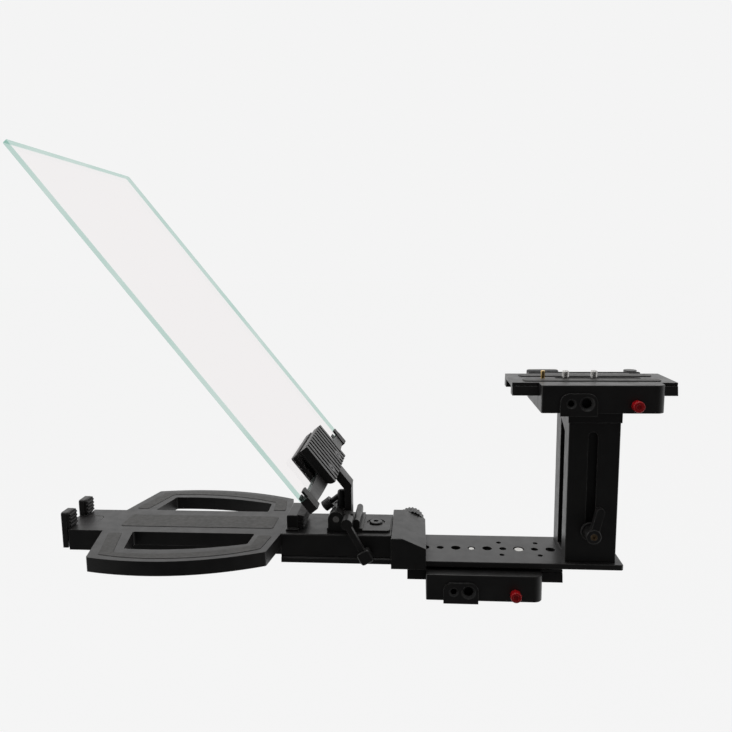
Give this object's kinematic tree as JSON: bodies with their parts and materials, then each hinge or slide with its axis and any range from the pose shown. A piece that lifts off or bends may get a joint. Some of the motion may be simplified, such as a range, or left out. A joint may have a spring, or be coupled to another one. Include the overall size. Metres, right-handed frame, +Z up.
{
  "type": "teleprompter",
  "caption": "Tripod teleprompter: winged tablet tray, tilting glass on a clamp, slotted base plate and a height-adjustable riser with quick-release camera plate.",
  "frame": {"origin": "mouth of the 3/8 inch tripod thread, in the middle of the lower adapter's underside", "axes": "+X runs back along the rail to the camera, +Y across it, away from the side with the red buttons, +Z up"},
  "size_m": [0.5594, 0.2204, 0.3975],
  "materials": {
    "black_anodised": "satin black anodised aluminium",
    "black_steel": "blackened steel",
    "black_rubber": "matt moulded rubber",
    "red_anodised": "glossy red anodised aluminium",
    "steel": "turned steel",
    "brass": "turned brass",
    "bronze": "bronzed screw",
    "clear_glass": "clear coated glass"
  },
  "bodies": {
    "base": {"lower_adapter_body": "black_anodised", "lower_button_spring": "steel"},
    "lower_jaw": {"lower_clamp_jaw": "black_anodised"},
    "lower_lever": {"lower_lock_lever": "black_anodised"},
    "lower_button": {"lower_safety_button": "red_anodised"},
    "deck": {"lower_sliding_plate": "black_anodised", "base_spacer": "black_rubber", "base_plate": "black_anodised", "base_screw_quarter": "steel", "base_screw_three_eighths": "steel", "riser_screws": "black_steel", "riser_column": "black_anodised", "coupling_block": "black_anodised", "coupling_screws": "black_steel"},
    "coupling_knob_body": {"coupling_knob": "black_anodised"},
    "riser_bracket": {"riser_inner_bracket": "black_anodised", "upper_adapter_screws": "black_steel", "upper_adapter_body": "black_anodised", "upper_button_spring": "steel"},
    "upper_jaw": {"upper_clamp_jaw": "black_anodised"},
    "upper_lever": {"upper_lock_lever": "black_anodised"},
    "upper_button": {"upper_safety_button": "red_anodised"},
    "riser_lever": {"riser_lock_lever": "black_anodised", "riser_lock_washer": "black_anodised", "riser_lever_screw": "bronze"},
    "camera_mount": {"camera_plate": "black_anodised", "camera_plate_pads": "black_rubber", "video_pin_spring": "steel"},
    "pin_body": {"video_pin": "brass"},
    "front_camera_screw": {"camera_screw_front": "steel"},
    "rear_camera_screw": {"camera_screw_rear": "steel"},
    "rail_body": {"rail": "black_anodised", "rail_bottom_plate": "black_anodised", "rail_plate_screws": "black_steel", "joint_bar": "black_anodised", "joint_bar_screws": "black_steel", "tray": "black_anodised", "tray_channel_cover": "black_anodised", "tray_cover_screws": "black_steel", "tray_centre_pad": "black_rubber", "tray_wing_pads": "black_rubber", "rear_jaw": "black_anodised", "rear_jaw_rubber": "black_rubber", "tilt_bracket": "black_anodised", "carriage_screw": "black_steel", "tilt_pin": "steel", "tilt_pin_cap": "black_anodised"},
    "slider": {"front_slider": "black_anodised", "finger_pads": "black_rubber"},
    "glass_frame": {"tilt_arm": "black_anodised", "clamp_rear_plate": "black_anodised", "clamp_front_plate": "black_anodised", "clamp_liners": "black_rubber", "glass_support_bar": "black_anodised", "clamp_screws": "black_steel", "glass_hook_near": "black_rubber", "glass_hook_far": "black_rubber", "glass_panel": "clear_glass"},
    "tilt_lever": {"tilt_lock_lever": "black_anodised"},
    "thumb": {"thumb_screw": "black_steel"}
  },
  "joints": [
    {"name": "base_slide", "type": "slide", "parent": "base", "child": "deck", "axis": [1, 0, 0], "range_m": [-0.018, 0.018]},
    {"name": "lower_lever_swing", "type": "hinge", "parent": "base", "child": "lower_lever", "pos_m": [0.0453, 0.0412, 0.015], "axis": [0, 0, -1], "range_deg": [0, 60]},
    {"name": "lower_jaw_slide", "type": "slide", "parent": "base", "child": "lower_jaw", "axis": [0, 1, 0], "range_m": [0, 0.0012]},
    {"name": "lower_button_press", "type": "slide", "parent": "base", "child": "lower_button", "axis": [0, 1, 0], "range_m": [0, 0.003], "stiffness_N_per_m": 400, "springref_m": -0.001},
    {"name": "upper_lever_swing", "type": "hinge", "parent": "riser_bracket", "child": "upper_lever", "pos_m": [0.1429, 0.0412, 0.1867], "axis": [0, 0, -1], "range_deg": [0, 60]},
    {"name": "upper_jaw_slide", "type": "slide", "parent": "riser_bracket", "child": "upper_jaw", "axis": [0, 1, 0], "range_m": [0, 0.0012]},
    {"name": "upper_button_press", "type": "slide", "parent": "riser_bracket", "child": "upper_button", "axis": [0, 1, 0], "range_m": [0, 0.003], "stiffness_N_per_m": 400, "springref_m": -0.001},
    {"name": "coupling_knob_turn", "type": "hinge", "parent": "deck", "child": "coupling_knob_body", "pos_m": [-0.066, 0.043, 0.04], "axis": [0, 1, 0], "continuous": true},
    {"name": "rail_pull", "type": "slide", "parent": "deck", "child": "rail_body", "axis": [-1, 0, 0], "range_m": [0, 0.018]},
    {"name": "riser_height", "type": "slide", "parent": "deck", "child": "riser_bracket", "axis": [0, 0, 1], "range_m": [0, 0.085]},
    {"name": "riser_lever_turn", "type": "hinge", "parent": "riser_bracket", "child": "riser_lever", "pos_m": [0.09365, -0.03, 0.0618], "axis": [0, -1, 0], "range_deg": [-60, 60]},
    {"name": "camera_plate_slide", "type": "slide", "parent": "riser_bracket", "child": "camera_mount", "axis": [1, 0, 0], "range_m": [-0.018, 0.018]},
    {"name": "video_pin_press", "type": "slide", "parent": "camera_mount", "child": "pin_body", "axis": [0, 0, -1], "range_m": [0, 0.0048], "stiffness_N_per_m": 200, "springref_m": -0.002},
    {"name": "front_camera_screw_turn", "type": "hinge", "parent": "camera_mount", "child": "front_camera_screw", "pos_m": [0.0738, 0, 0.1904], "axis": [0, 0, 1], "continuous": true},
    {"name": "rear_camera_screw_turn", "type": "hinge", "parent": "camera_mount", "child": "rear_camera_screw", "pos_m": [0.0988, 0, 0.1904], "axis": [0, 0, 1], "continuous": true},
    {"name": "front_slider_pull", "type": "slide", "parent": "rail_body", "child": "slider", "axis": [-1, 0, 0], "range_m": [0, 0.06]},
    {"name": "glass_tilt", "type": "hinge", "parent": "rail_body", "child": "glass_frame", "pos_m": [-0.1345, 0, 0.0661], "axis": [0, -1, 0], "range_deg": [0, 50]},
    {"name": "tilt_lever_turn", "type": "hinge", "parent": "rail_body", "child": "tilt_lever", "pos_m": [-0.123, -0.017, 0.067], "axis": [0, -1, 0], "range_deg": [-60, 20]},
    {"name": "thumb_screw_turn", "type": "hinge", "parent": "glass_frame", "child": "thumb", "pos_m": [-0.12726, 0, 0.08719], "axis": [0.7859, 0, 0.6184], "continuous": true}
  ],
  "couplings": [
    {"joint": "lower_jaw_slide", "follows": "lower_lever_swing", "m_per_rad": 0.001},
    {"joint": "upper_jaw_slide", "follows": "upper_lever_swing", "m_per_rad": 0.001}
  ]
}
